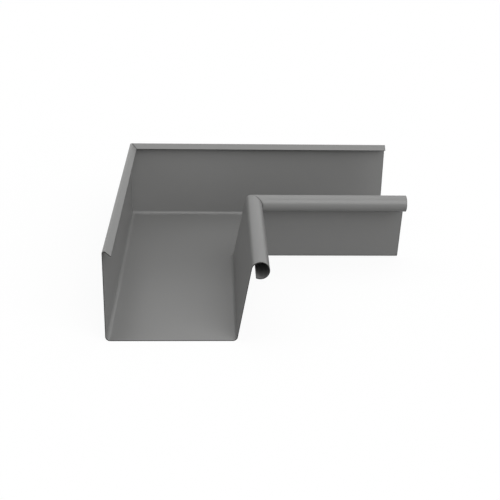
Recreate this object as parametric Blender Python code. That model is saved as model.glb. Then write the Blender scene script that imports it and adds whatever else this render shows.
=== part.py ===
"""An internal gutter angle: the inside corner of a box gutter, as one folded sheet of coated metal.

The frame is in metres, with +Z up and the origin on the underside, where the middle lines of the two legs
cross. The front leg runs along -Y and the side leg along +X. The high back walls, with a water fold along
their tops, stand on the outside of the corner. The low front walls, which lean out and end in a rolled
bead, stand on its inside.
"""

import math

import bmesh
import bpy
from mathutils import Matrix, Vector

MM = 0.001

# The whole corner.
SHEET = 0.7 * MM
LEG_LENGTH = 300 * MM  # of each leg, along the outside of its back wall
CORNER_ANGLE = math.radians(90)  # between the two legs
BASE_WIDTH = 120 * MM  # at the underside, between the outsides of the two walls
BASE_RADIUS = 4.5 * MM  # outside of the two bends along the base

# The back wall and the water fold along its top.
BACK_HEIGHT = 90 * MM  # up to the top of the fold
FOLD_RADIUS = 2 * MM  # outside of the bend between the wall and the fold
FOLD_REACH = 8.1 * MM  # from the outside of the wall to the fold's edge
FOLD_SLOPE = math.radians(42)  # down from the level

# The front wall and the bead along its top.
FRONT_HEIGHT = 80 * MM  # up to the top of the bead
FRONT_LEAN = math.radians(9.5)  # outwards from the upright
BEAD_DIAMETER = 17 * MM  # outside
BEAD_SLOT = 5 * MM  # clear way between the wall and the bead's edge

# Bends are drawn with straight steps of at most ARC_STEP, and edges that turn more than SHARP_ANGLE look sharp.
ARC_STEP = math.radians(5)
SHARP_ANGLE = math.radians(30)

# The coating.
COATING_COLOUR = (0.26, 0.26, 0.257, 1)
COATING_ROUGHNESS = 0.32
COATING_METALLIC = 0.15

UP = Vector((0, 0, 1))


def clear_scene():
    for obj in list(bpy.data.objects):
        bpy.data.objects.remove(obj)


def heading(angle):
    """The unit vector at this angle from the section's level axis."""
    return Vector((math.cos(angle), math.sin(angle)))


def tangent_length(radius, turn):
    """From the corner that two flats would make to where a bend of this radius leaves them."""
    return radius * math.tan(turn / 2)


def trace(start, angle, folds):
    """Follows one face of the sheet through its flats and bends, in the plane of the section.

    Each fold is a flat's length, then the turn to the left after it (negative to the right) and that turn's
    radius. It returns each point with the unit vector to the left of the way there.
    """
    quarter = math.pi / 2
    place = Vector(start)
    line = [(place.copy(), heading(angle + quarter))]
    for flat, turn, radius in folds:
        place = place + heading(angle) * flat
        side = math.copysign(radius, turn)
        centre = place + heading(angle + quarter) * side
        steps = math.ceil(abs(turn) / ARC_STEP)
        for step in range(steps + 1):
            left = heading(angle + turn * step / steps + quarter)
            line.append((centre - left * side, left))
        angle += turn
        place = line[-1][0]
    return line


def section_line():
    """The sheet's lower and outer face, from the water fold's edge round to the bead's edge.

    It starts up along the fold, turns down the back wall, crosses the base, rises along the front wall and
    curls over into the bead. The first number is the distance in from the outside of the back wall.
    """
    upright = math.pi / 2
    fold_turn = upright + FOLD_SLOPE
    front_turn = upright - FRONT_LEAN

    fold_end = FOLD_RADIUS * (1 + math.sin(FOLD_SLOPE))
    fold_flat = (FOLD_REACH - fold_end) / math.cos(FOLD_SLOPE)
    fold_drop = FOLD_RADIUS * (1 - math.cos(FOLD_SLOPE)) + fold_flat * math.sin(FOLD_SLOPE)
    fold_edge = (FOLD_REACH, BACK_HEIGHT - fold_drop)

    back_flat = BACK_HEIGHT - FOLD_RADIUS - BASE_RADIUS
    base_flat = BASE_WIDTH - BASE_RADIUS - tangent_length(BASE_RADIUS, front_turn)

    bead_inside = BEAD_DIAMETER / 2 - SHEET
    bead_height = FRONT_HEIGHT - BEAD_DIAMETER / 2
    bead_start = bead_height + bead_inside * math.sin(FRONT_LEAN)
    front_flat = bead_start / math.cos(FRONT_LEAN) - tangent_length(BASE_RADIUS, front_turn)
    bead_opening = math.acos((bead_inside - BEAD_SLOT) / (BEAD_DIAMETER / 2))
    bead_turn = 2 * math.pi - bead_opening

    folds = (
        (fold_flat, fold_turn, FOLD_RADIUS),
        (back_flat, upright, BASE_RADIUS),
        (base_flat, front_turn, BASE_RADIUS),
        (front_flat, -bead_turn, bead_inside),
    )
    return trace(fold_edge, math.pi - FOLD_SLOPE, folds)


def draw_section(bm, station):
    """The cut end of the sheet at a station, as a strip of faces across its thickness."""
    pairs = []
    for point, left in section_line():
        other = point + left * SHEET
        pairs.append([bm.verts.new(station @ Vector((at.x, 0, at.y))) for at in (point, other)])
    for here, ahead in zip(pairs, pairs[1:]):
        bm.faces.new((here[0], ahead[0], ahead[1], here[1]))


def station_at(origin, across):
    """The matrix that stands the section upright, with its zero at origin and its width along across."""
    turned = Matrix((across, UP.cross(across), UP)).transposed().to_4x4()
    return Matrix.Translation(origin) @ turned


def stations():
    """The section's places at the front leg's end, at the mitre and at the side leg's end.

    At the mitre the section is wider by one over the sine of half the corner's angle, so both legs keep the
    same section.
    """
    quarter = Matrix.Rotation(math.pi / 2, 3, "Z")
    front = Vector((0, -1, 0))
    side = Matrix.Rotation(CORNER_ANGLE, 3, "Z") @ front
    front_across = quarter @ front
    side_across = quarter.transposed() @ side
    mitre_across = (front_across + side_across) / (1 + front_across.dot(side_across))
    corner = -mitre_across * BASE_WIDTH / 2
    return (
        station_at(corner + front * LEG_LENGTH, front_across),
        station_at(corner, mitre_across),
        station_at(corner + side * LEG_LENGTH, side_across),
    )


def sweep(bm, places):
    """Extrudes the section from each place to the next, so that only its two cut ends stay closed."""
    region = bm.faces[:] + bm.edges[:]
    for here, there in zip(places, places[1:]):
        region = bmesh.ops.extrude_face_region(bm, geom=region)["geom"]
        moved = [item for item in region if isinstance(item, bmesh.types.BMVert)]
        bmesh.ops.transform(bm, matrix=there @ here.inverted(), verts=moved)


def make_coating():
    coating = bpy.data.materials.new("grey_coating")
    coating.use_nodes = True
    shader = coating.node_tree.nodes["Principled BSDF"]
    shader.inputs["Base Color"].default_value = COATING_COLOUR
    shader.inputs["Roughness"].default_value = COATING_ROUGHNESS
    shader.inputs["Metallic"].default_value = COATING_METALLIC
    return coating


def make_gutter_angle():
    """The folded sheet: its section, swept along the front leg, round the mitre and along the side leg."""
    places = stations()
    bm = bmesh.new()
    draw_section(bm, places[0])
    sweep(bm, places)
    bmesh.ops.recalc_face_normals(bm, faces=bm.faces)
    mesh = bpy.data.meshes.new("gutter_angle")
    bm.to_mesh(mesh)
    bm.free()
    mesh.materials.append(make_coating())
    mesh.shade_smooth()
    mesh.set_sharp_from_angle(angle=SHARP_ANGLE)
    obj = bpy.data.objects.new("gutter_angle", mesh)
    bpy.context.scene.collection.objects.link(obj)


clear_scene()
make_gutter_angle()
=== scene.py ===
import math

import bpy
import numpy as np
from mathutils import Matrix, Vector


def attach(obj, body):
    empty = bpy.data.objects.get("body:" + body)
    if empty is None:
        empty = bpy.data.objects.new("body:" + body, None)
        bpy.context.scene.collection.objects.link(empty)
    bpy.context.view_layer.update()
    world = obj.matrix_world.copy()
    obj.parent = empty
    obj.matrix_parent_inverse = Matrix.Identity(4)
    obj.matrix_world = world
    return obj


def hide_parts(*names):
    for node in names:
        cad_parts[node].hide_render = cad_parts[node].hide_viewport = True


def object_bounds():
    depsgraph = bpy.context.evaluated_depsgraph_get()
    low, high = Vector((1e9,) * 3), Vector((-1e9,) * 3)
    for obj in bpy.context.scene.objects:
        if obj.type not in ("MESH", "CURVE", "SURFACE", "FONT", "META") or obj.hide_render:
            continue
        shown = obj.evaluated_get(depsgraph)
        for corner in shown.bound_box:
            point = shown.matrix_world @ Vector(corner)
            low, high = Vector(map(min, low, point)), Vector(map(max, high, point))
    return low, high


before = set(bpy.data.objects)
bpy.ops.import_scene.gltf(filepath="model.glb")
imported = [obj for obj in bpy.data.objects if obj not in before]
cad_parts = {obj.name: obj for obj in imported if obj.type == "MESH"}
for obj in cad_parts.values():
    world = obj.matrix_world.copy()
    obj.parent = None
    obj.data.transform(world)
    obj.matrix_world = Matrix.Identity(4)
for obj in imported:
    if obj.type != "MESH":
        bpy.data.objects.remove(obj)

# The looks of an internal gutter angle: one folded sheet of coated metal, on a pale floor under soft light.
# The row frame is in metres, with the front leg along -Y, the side leg along +X and the underside at z = 0.

MM = 0.001

# The sheet's overall sizes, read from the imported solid.
CAD_LOW, CAD_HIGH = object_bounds()
LEG_LENGTH = CAD_HIGH.x - CAD_LOW.x
BASE_WIDTH = -2 * CAD_LOW.x
BACK_HEIGHT = CAD_HIGH.z

# The section, folded from the water fold's edge round to the bead's edge.
SHEET = 0.7 * MM
BASE_RADIUS = 4.5 * MM
FOLD_RADIUS = 2 * MM
FOLD_REACH = 8.1 * MM
FOLD_SLOPE = math.radians(42)
FRONT_HEIGHT = 80 * MM
FRONT_LEAN = math.radians(9.5)
BEAD_DIAMETER = 17 * MM
BEAD_SLOT = 5 * MM

# Small rounded corners that the solid leaves sharp.
MITRE_RADIUS = 0.3 * MM
TIP_RADIUS = 0.16 * MM
END_RADIUS = 0.12 * MM

# The seam where the legs' folds and beads meet: a shallow groove, with painted shade and dirt at its bottom.
SEAM_REACH = 1.4 * MM  # from the mitre to the groove's edge
SEAM_DEPTH = 0.3 * MM
SEAM_FADE = 2.5 * MM  # over which it runs out from the water fold into the wall
SEAM_RISE = 18 * MM  # over which it comes in round the bead
SEAM_START = 1 * MM  # from the sheet's tips to where the groove is at full depth
# Painted shade and dirt at the groove's bottom.
SEAM_PAINTED_SHADE = 0.55  # the share of the colour that the bottom loses

# A dark line along the coating next to the cut ends.
CUT_REACH = 1 * MM
CUT_SHADE = 0.45

# How fine the surface is.
ARC_STEP = math.radians(4)
FLAT_STEP = 9 * MM
LEG_STEP = 12 * MM
ROUND_STEPS = 4
MITRE_STEPS = 8
SEAM_STEPS = 6
CUT_STEPS = 2

# The spare border round the sheet's map, once it is shrunk to fit a square.
MAP_BORDER = 6 * MM

# The camera, found by fitting the corner's edges in the photograph.
CAMERA_PLACE = (37.2 * MM, -986.4 * MM, 439.7 * MM)
CAMERA_YAW = math.radians(2.45)
CAMERA_PITCH = math.radians(21.91)
CAMERA_ROLL = math.radians(-1.18)
CAMERA_LENS = 67.4
CAMERA_SENSOR = 36
CAMERA_SHIFT = -0.1

# The floor.
FLOOR_SIZE = 60
FLOOR_DROP = 0.1 * MM  # below the underside
FLOOR_BOUNCE = 0.2  # the share of the light that it throws back on the part
FLOOR_SHADOW = 0.09  # the share of its look that the light makes, so that the shadow shows

# The light: an even sky, and soft round lamps far away. Each lamp has the bearing that it stands on, counted
# from +X towards +Y, its height above the horizon, its breadth as seen from the part, and its strength.
SKY = 0.3
LAMPS = {
    "front_lamp": (math.radians(-56), math.radians(37), math.radians(60), 1.9),
    "top_lamp": (math.radians(90), math.radians(70), math.radians(60), 0.72),
    "left_lamp": (math.radians(180), math.radians(42), math.radians(45), 0.45),
}

# The two finishes. Tone, gloss and bump say how strongly the texture changes each of them.
COATING = {
    "colour": (0.25, 0.25, 0.247, 1),
    "roughness": 0.3,
    "metallic": 0.12,
    "reflection": 0.1,
    "tone": 0.08,
    "gloss": 0.08,
    "bump": 0.15,
}
CUT_EDGE = {
    "colour": (0.05, 0.05, 0.05, 1),
    "roughness": 0.5,
    "metallic": 0.0,
    "reflection": 0.3,
    "tone": 0.2,
    "gloss": 0.2,
    "bump": 0.3,
}

# The texture that both share: fine grain, rolling streaks along the sheet and soft clouds.
GRAIN_SIZE = 0.7 * MM
STREAK_WIDTH = 1.1 * MM
STREAK_LENGTH = 55 * MM
CLOUD_SIZE = 60 * MM
GRAIN_SHARE = 0.24
STREAK_SHARE = 0.36
CLOUD_SHARE = 0.4
NOISE_DETAIL = 3
NOISE_MIDDLE = 0.5
GRAIN_HEIGHT = 0.02 * MM


def section_folds():
    """The sheet's middle line as four folds: each is a flat's length, the turn after it and its radius.

    It also gives the heading and the point of the plane that the line starts from. Turns to the left are
    positive, and the middle line's radius is the outside radius less half the sheet.
    """
    half = SHEET / 2
    upright = math.pi / 2
    front_turn = upright - FRONT_LEAN
    fold_end = FOLD_RADIUS * (1 + math.sin(FOLD_SLOPE))
    fold_flat = (FOLD_REACH - fold_end) / math.cos(FOLD_SLOPE)
    fold_drop = FOLD_RADIUS * (1 - math.cos(FOLD_SLOPE)) + fold_flat * math.sin(FOLD_SLOPE)
    front_tangent = BASE_RADIUS * math.tan(front_turn / 2)
    bead_inside = BEAD_DIAMETER / 2 - SHEET
    bead_start = FRONT_HEIGHT - BEAD_DIAMETER / 2 + bead_inside * math.sin(FRONT_LEAN)
    bead_opening = math.acos((bead_inside - BEAD_SLOT) / (BEAD_DIAMETER / 2))
    folds = (
        (fold_flat, upright + FOLD_SLOPE, FOLD_RADIUS - half),
        (BACK_HEIGHT - FOLD_RADIUS - BASE_RADIUS, upright, BASE_RADIUS - half),
        (BASE_WIDTH - BASE_RADIUS - front_tangent, front_turn, BASE_RADIUS - half),
        (bead_start / math.cos(FRONT_LEAN) - front_tangent, bead_opening - math.tau, bead_inside + half),
    )
    heading = math.pi - FOLD_SLOPE
    edge = np.array((FOLD_REACH, BACK_HEIGHT - fold_drop))
    return folds, heading, edge + half * np.array((-math.sin(heading), math.cos(heading)))


class MiddleLine:
    """The sheet's middle line in the plane of the section, as flats and bends laid end to end."""

    def __init__(self):
        folds, heading, place = section_folds()
        rows = []
        length = 0.0
        for flat, turn, radius in folds:
            for stretch, curvature in ((flat, 0.0), (abs(turn) * radius, math.copysign(1 / radius, turn))):
                rows.append((length, *place, heading, curvature))
                place = place + self.chord(stretch, heading, curvature)
                heading += stretch * curvature
                length += stretch
        self.starts, self.x, self.z, self.heading, self.curvature = np.array(rows).T
        self.length = length
        self.wall_start = self.starts[2]  # after the water fold's flat and its bend
        self.bead_start = self.starts[-1]

    @staticmethod
    def chord(t, heading, curvature):
        """The way from a stretch's start to a length t along it.

        It is t sin(kt/2) / (kt/2) long, on a heading of a + kt/2, for a curvature k and a starting heading a.
        """
        half_turn = curvature * t / 2
        reach = t * np.sinc(half_turn / np.pi)
        return np.stack((reach * np.cos(heading + half_turn), reach * np.sin(heading + half_turn)))

    def at(self, lengths):
        """The points at these lengths, with the unit vectors along the line and to its left."""
        row = np.clip(np.searchsorted(self.starts, lengths, side="right") - 1, 0, None)
        t = lengths - self.starts[row]
        x, z = self.chord(t, self.heading[row], self.curvature[row])
        angle = self.heading[row] + self.curvature[row] * t
        along = np.stack((np.cos(angle), np.sin(angle)))
        left = np.stack((-np.sin(angle), np.cos(angle)))
        return np.stack((self.x[row] + x, self.z[row] + z)), along, left

    def samples(self):
        """Lengths along the line, closer together on the bends."""
        ends = np.append(self.starts[1:], self.length)
        parts = []
        for start, end, curvature in zip(self.starts, ends, self.curvature):
            turn = abs(curvature) * (end - start)
            steps = math.ceil(max(turn / ARC_STEP, (end - start) / FLAT_STEP))
            parts.append(np.linspace(start, end, steps, endpoint=False))
        inside = np.sort(np.concatenate((*parts, (SEAM_START, self.length - SEAM_START))))
        return inside[(inside > TIP_RADIUS) & (inside < self.length - TIP_RADIUS)]


def loop_columns(line):
    """The closed loop round the sheet's section, as columns of the surface.

    The lower side runs from the fold's edge to the bead's edge, and the upper side runs back. Each column has
    its length along the middle line, its distance from it, its side (-1 lower, +1 upper) and how far its
    outward direction leans along the line (-1 at the fold's tip, +1 at the bead's tip).
    """
    turn = np.linspace(0, np.pi / 2, ROUND_STEPS + 1)
    tip = TIP_RADIUS * (1 - np.cos(turn))
    depth = SHEET / 2 - TIP_RADIUS + TIP_RADIUS * np.sin(turn)
    faces = line.samples()
    flat = np.full(len(faces), SHEET / 2)
    length = np.concatenate((tip, faces, line.length - tip[::-1]))
    offset = np.concatenate((depth, flat, depth[::-1]))
    lean = np.concatenate((-np.cos(turn), flat * 0, np.cos(turn[::-1])))
    side = np.repeat((-1, 1), len(length))
    length, offset, lean = (np.concatenate((part, part[::-1])) for part in (length, offset, lean))
    return length, offset, side, lean


def seam_columns(line, length, side):
    """The seam's painted shade and dirt, and its groove's depth, in each column as shares of the whole.

    On the outside of the water fold it is whole, and falls to nothing over SEAM_FADE where the wall begins.
    On the outside of the bead it rises from nothing over SEAM_RISE. Its depth falls to nothing at the tips.
    """
    fold = np.interp(length, (line.wall_start - SEAM_FADE, line.wall_start), (1, 0)) * (side < 0)
    bead = np.interp(length, (line.bead_start, line.bead_start + SEAM_RISE), (0, 1)) * (side > 0)
    from_tip = np.minimum(length, line.length - length)
    return fold + bead, (fold + bead) * np.interp(from_tip, (TIP_RADIUS, SEAM_START), (0, 1))


def leg_rings():
    """The rings of the surface, from the front leg's end round the mitre to the side leg's end.

    Each ring has a share of the way from the mitre's rounding to the end's, a length added to that (less
    than nothing just before the end), an inset of the section, how far its outward direction leans to the
    cut end, the mitre's angle there (0 on the front leg, a right angle on the side leg) and its leg
    (-1 front, 0 mitre, +1 side). The rings lie closer together in the seam and in the cut's dark line.
    """
    turn = np.linspace(0, np.pi / 2, ROUND_STEPS + 1)[1:]
    seam = np.linspace(0, SEAM_REACH - MITRE_RADIUS, SEAM_STEPS + 1)[1:]
    share = np.linspace(0, 1, math.ceil(LEG_LENGTH / LEG_STEP))[1:-1]
    dark = np.linspace(-CUT_REACH, 0, CUT_STEPS + 1)
    plain = np.zeros(len(seam) + len(share) + len(dark))
    leg = np.stack((
        np.concatenate((seam * 0, share, dark * 0 + 1, turn * 0 + 1)),
        np.concatenate((seam, share * 0, dark, END_RADIUS * np.sin(turn))),
        np.concatenate((plain, END_RADIUS * (1 - np.cos(turn)))),
        np.concatenate((plain, np.sin(turn))),
    ))
    angle = np.linspace(0, np.pi / 2, MITRE_STEPS + 1)
    rings = np.concatenate((leg[:, ::-1], np.zeros((4, len(angle))), leg), axis=1)
    blank = np.zeros(leg.shape[1])
    mitre_angle = np.concatenate((blank, angle, blank + np.pi / 2))
    which = np.concatenate((blank - 1, angle * 0, blank + 1))
    return (*rings, mitre_angle, which)


def sheet_surface():
    """The folded sheet as a grid of rings and columns.

    A point of the section at width u and height z goes u along both legs' directions from the outer corner.
    On the front leg it then goes a further length towards -Y, on the side leg towards +X, and at the mitre
    it turns from one to the other on a small arc of its own. The lengths end where the leg's end plane
    cuts that column, LEG_LENGTH - u from its own corner.

    At a way w from the mitre the seam takes the point inwards by SEAM_DEPTH times the squared cosine of
    w / SEAM_REACH quarter turns, and tilts its outward direction by that curve's slope.

    It gives the points, their outward directions, their ways from the mitre (negative on the front leg) and
    the share of the colour taken away by the seam's painted shade and dirt and by the cut ends' dark line.
    """
    line = MiddleLine()
    length, offset, side, lean = loop_columns(line)
    share, added, inset, cut, mitre_angle, which = (part[:, None] for part in leg_rings())

    middle, along, left = line.at(length - lean * inset)
    sideways = np.sqrt(1 - lean ** 2)
    u, z = middle + left * side * (offset - inset * sideways)
    out_u, out_z = along * lean + left * side * sideways

    sine, cosine = np.sin(mitre_angle), np.cos(mitre_angle)
    reach = MITRE_RADIUS + share * (LEG_LENGTH - u - MITRE_RADIUS - END_RADIUS) + added
    to_front = np.where(which < 0, reach, MITRE_RADIUS * (1 - sine) * (which == 0))
    to_side = np.where(which > 0, reach, MITRE_RADIUS * (1 - cosine) * (which == 0))
    points = np.stack((CAD_LOW.x + u + to_side, CAD_HIGH.y - u - to_front, z), axis=-1)

    keep = np.sqrt(1 - cut ** 2)
    normals = np.stack((
        keep * out_u * cosine + cut * (which > 0),
        -keep * out_u * sine - cut * (which < 0),
        keep * out_z,
    ), axis=-1)

    way = to_side - to_front
    phase = np.clip(way / SEAM_REACH, -1, 1) * np.pi / 2
    # dark is how strong the seam's painted shade and dirt is.
    dark, deep = seam_columns(line, length, side)
    points -= normals * (SEAM_DEPTH * deep * np.cos(phase) ** 2)[..., None]
    slope = -SEAM_DEPTH * deep * np.sin(2 * phase) * np.pi / (2 * SEAM_REACH) * (sine + cosine)
    normals += np.stack((slope * sine, slope * cosine, slope * 0), axis=-1)
    normals /= np.linalg.norm(normals, axis=-1, keepdims=True)

    from_end = LEG_LENGTH - u - np.abs(way)
    # The seam's painted shade and dirt, plus the dark line by the cut ends.
    shade = SEAM_PAINTED_SHADE * dark * np.cos(phase) ** 2 + CUT_SHADE * np.interp(from_end, (0, CUT_REACH), (1, 0))
    return points, normals, way, shade


def sheet_faces(rings, columns):
    """Quads between neighbouring rings and columns, and across the two cut ends, facing outwards."""
    ring, column = np.meshgrid(np.arange(rings - 1), np.arange(columns), indexing="ij")
    after = (column + 1) % columns
    here, ahead = ring * columns, (ring + 1) * columns
    walls = np.stack((here + column, ahead + column, ahead + after, here + after), axis=-1).reshape(-1, 4)
    low = np.arange(columns // 2 - 1)
    high = columns - 1 - low
    near = np.stack((low, low + 1, high - 1, high), axis=-1)
    far = near[:, ::-1] + (rings - 1) * columns
    return walls, np.concatenate((near, far))


def map_sheet(points, way, walls, ends):
    """The sheet's own map in metres, as two numbers for each corner of each face, with the map's height.

    The first is the way from the mitre, counted from the front leg's end, and the second is the length round
    the section. The cut ends lie beside the lower side's ends, as strips of the sheet's thickness.
    """
    columns = points.shape[1]
    section = points[len(points) // 4][:, [0, 2]]  # a plain ring of the front leg
    steps = np.linalg.norm(np.roll(section, -1, axis=0) - section, axis=1)
    round_length = np.concatenate(((0,), np.cumsum(steps)))

    wall_column = walls % columns
    wall_v = round_length[wall_column]
    last = wall_column[:, 0] == columns - 1
    wall_v[last, 2:] = round_length[-1]
    end_column = ends % columns
    end_v = round_length[np.minimum(end_column, columns - 1 - end_column)]

    u = way.reshape(-1)
    end_u = u[ends] + np.where(end_column >= columns // 2, SHEET, 0) * np.sign(u[ends])
    corners = np.stack((np.concatenate((u[walls], end_u)), np.concatenate((wall_v, end_v))), axis=-1)
    return corners + np.array((LEG_LENGTH, 0)), round_length[-1]


def cut_faces(rings, columns, walls):
    """Marks the walls' faces that lie on the sheet's cut edges: its two rounded tips and its rounded ends."""
    column = walls[:, 0] % columns
    ring = walls[:, 0] // columns
    half = columns // 2
    from_tip = np.minimum(column % half, half - 1 - column % half)
    tip = (from_tip < ROUND_STEPS) | (column % half == half - 1)
    return tip | (ring < ROUND_STEPS) | (ring >= rings - 1 - ROUND_STEPS)


def make_sheet():
    """The folded sheet as a mesh, with its map, painted seam shade, dark cut lines and cut edges marked."""
    points, normals, way, shade = sheet_surface()
    rings, columns = shade.shape
    walls, ends = sheet_faces(rings, columns)

    mesh = bpy.data.meshes.new("folded_sheet")
    mesh.from_pydata(points.reshape(-1, 3), [], np.concatenate((walls, ends)).tolist())
    mesh.shade_smooth()

    corners, height = map_sheet(points, way, walls, ends)
    layout = mesh.uv_layers.new(name="sheet_layout")
    layout.uv.foreach_set("vector", corners.astype(np.float32).ravel())
    # The same map, shrunk to fit a square.
    square = (corners + MAP_BORDER) / (height + 2 * MAP_BORDER)
    baked = mesh.uv_layers.new(name="OFBake")
    baked.uv.foreach_set("vector", square.astype(np.float32).ravel())

    # The seam's painted shade and dirt and the cut ends' dark line, as shares of colour lost.
    painted_seam_shade_and_cut_line = mesh.attributes.new("painted_seam_shade_and_cut_line", "FLOAT", "POINT")
    painted_seam_shade_and_cut_line.data.foreach_set("value", shade.astype(np.float32).ravel())
    index = np.concatenate((cut_faces(rings, columns, walls), np.ones(len(ends), bool)))
    mesh.polygons.foreach_set("material_index", index.astype(np.int32))
    mesh.normals_split_custom_set_from_vertices(normals.reshape(-1, 3))

    piece = bpy.data.objects.new("folded_sheet", mesh)
    bpy.context.scene.collection.objects.link(piece)
    return piece


def metal_texture():
    """A node group: the metal's fine grain, faint streaks along the sheet, soft clouds, painted seam shade
    and cut lines.

    The colour is scaled by 1 + Tone times the three noises' weighted mean less its middle, and by
    1 - Line Shade. The roughness moves by Gloss times the streaks less their middle. The height is the grain.
    """
    group = bpy.data.node_groups.new("metal_texture", "ShaderNodeTree")
    sockets = group.interface
    sockets.new_socket("Place", in_out="INPUT", socket_type="NodeSocketVector")
    sockets.new_socket("Colour", in_out="INPUT", socket_type="NodeSocketColor")
    sockets.new_socket("Roughness", in_out="INPUT", socket_type="NodeSocketFloat")
    sockets.new_socket("Tone", in_out="INPUT", socket_type="NodeSocketFloat")
    sockets.new_socket("Gloss", in_out="INPUT", socket_type="NodeSocketFloat")
    sockets.new_socket("Painted Seam Shade And Cut Line", in_out="INPUT", socket_type="NodeSocketFloat")
    sockets.new_socket("Colour", in_out="OUTPUT", socket_type="NodeSocketColor")
    sockets.new_socket("Roughness", in_out="OUTPUT", socket_type="NodeSocketFloat")
    sockets.new_socket("Height", in_out="OUTPUT", socket_type="NodeSocketFloat")
    nodes, links = group.nodes, group.links
    given = nodes.new("NodeGroupInput")
    made = nodes.new("NodeGroupOutput")

    def noise(length, width):
        """Soft noise whose patches are this long along the sheet and this wide across it."""
        stretch = nodes.new("ShaderNodeMapping")
        stretch.inputs["Scale"].default_value = (1 / length, 1 / width, 1)
        texture = nodes.new("ShaderNodeTexNoise")
        texture.inputs["Scale"].default_value = 1
        texture.inputs["Detail"].default_value = NOISE_DETAIL
        links.new(given.outputs["Place"], stretch.inputs["Vector"])
        links.new(stretch.outputs["Vector"], texture.inputs["Vector"])
        return texture.outputs["Fac"]

    def maths(operation, first, second):
        """The result of one sum on two sockets or numbers."""
        node = nodes.new("ShaderNodeMath")
        node.operation = operation
        for socket, value in zip(node.inputs, (first, second)):
            if isinstance(value, (int, float)):
                socket.default_value = value
            else:
                links.new(value, socket)
        return node.outputs["Value"]

    grain = noise(GRAIN_SIZE, GRAIN_SIZE)
    streaks = noise(STREAK_LENGTH, STREAK_WIDTH)
    clouds = noise(CLOUD_SIZE, CLOUD_SIZE)

    swing = -NOISE_MIDDLE
    for part, share in ((grain, GRAIN_SHARE), (streaks, STREAK_SHARE), (clouds, CLOUD_SHARE)):
        swing = maths("ADD", swing, maths("MULTIPLY", part, share))
    level = maths("ADD", maths("MULTIPLY", swing, given.outputs["Tone"]), 1)
    # The seam's painted shade and the cut ends' dark line take colour away.
    lit = maths("SUBTRACT", 1, given.outputs["Painted Seam Shade And Cut Line"])
    tint = nodes.new("ShaderNodeVectorMath")
    tint.operation = "SCALE"
    links.new(given.outputs["Colour"], tint.inputs["Vector"])
    links.new(maths("MULTIPLY", level, lit), tint.inputs["Scale"])
    links.new(tint.outputs["Vector"], made.inputs["Colour"])

    shine = maths("MULTIPLY", maths("SUBTRACT", streaks, NOISE_MIDDLE), given.outputs["Gloss"])
    links.new(maths("ADD", given.outputs["Roughness"], shine), made.inputs["Roughness"])
    links.new(grain, made.inputs["Height"])
    return group


def finish_material(name, texture, finish):
    """One finish of the metal, textured along the sheet's own map."""
    material = bpy.data.materials.new(name)
    material.use_nodes = True
    nodes, links = material.node_tree.nodes, material.node_tree.links
    shader = nodes["Principled BSDF"]
    shader.inputs["Metallic"].default_value = finish["metallic"]
    shader.inputs["Specular IOR Level"].default_value = finish["reflection"]
    place = nodes.new("ShaderNodeUVMap")
    place.uv_map = "sheet_layout"
    # The seam's painted shade and dirt, and the cut ends' dark line.
    lines = nodes.new("ShaderNodeAttribute")
    lines.attribute_name = "painted_seam_shade_and_cut_line"
    effect = nodes.new("ShaderNodeGroup")
    effect.node_tree = texture
    effect.inputs["Colour"].default_value = finish["colour"]
    effect.inputs["Roughness"].default_value = finish["roughness"]
    effect.inputs["Tone"].default_value = finish["tone"]
    effect.inputs["Gloss"].default_value = finish["gloss"]
    relief = nodes.new("ShaderNodeBump")
    relief.inputs["Strength"].default_value = finish["bump"]
    relief.inputs["Distance"].default_value = GRAIN_HEIGHT
    links.new(place.outputs["UV"], effect.inputs["Place"])
    links.new(lines.outputs["Fac"], effect.inputs["Painted Seam Shade And Cut Line"])
    links.new(effect.outputs["Colour"], shader.inputs["Base Color"])
    links.new(effect.outputs["Roughness"], shader.inputs["Roughness"])
    links.new(effect.outputs["Height"], relief.inputs["Height"])
    links.new(relief.outputs["Normal"], shader.inputs["Normal"])
    return material


def seen_directly(nodes, links):
    """1 for camera, glossy and transmission rays, and 0 for the rays that carry soft light."""
    path = nodes.new("ShaderNodeLightPath")
    total = path.outputs["Is Camera Ray"]
    for kind in ("Is Glossy Ray", "Is Transmission Ray"):
        add = nodes.new("ShaderNodeMath")
        add.operation = "MAXIMUM"
        links.new(total, add.inputs[0])
        links.new(path.outputs[kind], add.inputs[1])
        total = add.outputs["Value"]
    return total


def open_light():
    """How brightly the open floor is lit, where 1 shows a colour as it is written."""
    return SKY + sum(strength * math.sin(height) / math.pi for _, height, _, strength in LAMPS.values())


def make_floor():
    """A pale floor that looks white and keeps a soft shadow, and that throws little light back up.

    What the camera and gloss see is a glow with a faint lit share added. The two make 1 on the open floor.
    """
    half = FLOOR_SIZE / 2
    outline = ((-half, -half), (half, -half), (half, half), (-half, half))
    mesh = bpy.data.meshes.new("floor")
    mesh.from_pydata([(x, y, -FLOOR_DROP) for x, y in outline], [], [(0, 1, 2, 3)])
    floor = bpy.data.objects.new("floor", mesh)
    bpy.context.scene.collection.objects.link(floor)

    material = bpy.data.materials.new("pale_floor")
    material.use_nodes = True
    nodes, links = material.node_tree.nodes, material.node_tree.links
    nodes.clear()
    output = nodes.new("ShaderNodeOutputMaterial")
    bounce = nodes.new("ShaderNodeBsdfDiffuse")
    bounce.inputs["Color"].default_value = (FLOOR_BOUNCE, FLOOR_BOUNCE, FLOOR_BOUNCE, 1)
    shadow = nodes.new("ShaderNodeBsdfDiffuse")
    shadow.inputs["Color"].default_value = (FLOOR_SHADOW, FLOOR_SHADOW, FLOOR_SHADOW, 1)
    glow = nodes.new("ShaderNodeEmission")
    glow.inputs["Strength"].default_value = 1 - FLOOR_SHADOW * open_light()
    seen = nodes.new("ShaderNodeAddShader")
    choice = nodes.new("ShaderNodeMixShader")
    links.new(shadow.outputs[0], seen.inputs[0])
    links.new(glow.outputs[0], seen.inputs[1])
    links.new(seen_directly(nodes, links), choice.inputs["Fac"])
    links.new(bounce.outputs[0], choice.inputs[1])
    links.new(seen.outputs[0], choice.inputs[2])
    links.new(choice.outputs[0], output.inputs["Surface"])
    mesh.materials.append(material)


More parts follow.
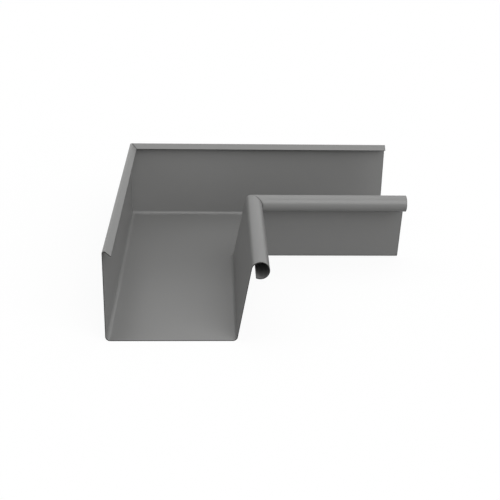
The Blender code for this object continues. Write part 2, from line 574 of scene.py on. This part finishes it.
def make_world():
    """An even white sky. The camera, gloss and glass see it as plain white."""
    world = bpy.data.worlds.new("soft_sky")
    world.use_nodes = True
    nodes, links = world.node_tree.nodes, world.node_tree.links
    nodes.clear()
    output = nodes.new("ShaderNodeOutputWorld")
    soft = nodes.new("ShaderNodeBackground")
    seen = nodes.new("ShaderNodeBackground")
    for background, strength in ((soft, SKY), (seen, 1)):
        background.inputs["Color"].default_value = (1, 1, 1, 1)
        background.inputs["Strength"].default_value = strength
    choice = nodes.new("ShaderNodeMixShader")
    links.new(seen_directly(nodes, links), choice.inputs["Fac"])
    links.new(soft.outputs[0], choice.inputs[1])
    links.new(seen.outputs[0], choice.inputs[2])
    links.new(choice.outputs[0], output.inputs["Surface"])
    bpy.context.scene.world = world


def make_lamp(name, bearing, height, breadth, strength):
    """A soft round lamp so far away that its light comes from one side only."""
    data = bpy.data.lights.new(name, "SUN")
    data.angle = breadth
    data.energy = strength
    lamp = bpy.data.objects.new(name, data)
    towards = Vector((
        math.cos(bearing) * math.cos(height),
        math.sin(bearing) * math.cos(height),
        math.sin(height),
    ))
    lamp.rotation_euler = towards.to_track_quat("Z", "Y").to_euler()
    bpy.context.scene.collection.objects.link(lamp)


def make_camera():
    """The photograph's view: yaw is right of +Y, pitch is down and roll turns the picture clockwise."""
    forward = Vector((
        math.sin(CAMERA_YAW) * math.cos(CAMERA_PITCH),
        math.cos(CAMERA_YAW) * math.cos(CAMERA_PITCH),
        -math.sin(CAMERA_PITCH),
    ))
    level = Vector((math.cos(CAMERA_YAW), -math.sin(CAMERA_YAW), 0))
    down = forward.cross(level)
    right = level * math.cos(CAMERA_ROLL) + down * math.sin(CAMERA_ROLL)
    up = level * math.sin(CAMERA_ROLL) - down * math.cos(CAMERA_ROLL)
    data = bpy.data.cameras.new("camera")
    data.lens = CAMERA_LENS
    data.sensor_width = CAMERA_SENSOR
    data.shift_y = CAMERA_SHIFT
    camera = bpy.data.objects.new("camera", data)
    turned = Matrix((right, up, -forward)).transposed().to_4x4()
    camera.matrix_world = Matrix.Translation(CAMERA_PLACE) @ turned
    bpy.context.scene.collection.objects.link(camera)
    bpy.context.scene.camera = camera


# The camera, the light and the floor.
make_camera()
make_world()
for name, lamp in LAMPS.items():
    make_lamp(name, *lamp)
make_floor()

# The sheet and its two finishes.
sheet = make_sheet()
texture = metal_texture()
sheet.data.materials.append(finish_material("grey_coating", texture, COATING))
sheet.data.materials.append(finish_material("cut_edge", texture, CUT_EDGE))
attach(sheet, "root")
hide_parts("gutter_angle")

bpy.context.scene.view_settings.view_transform = "Standard"
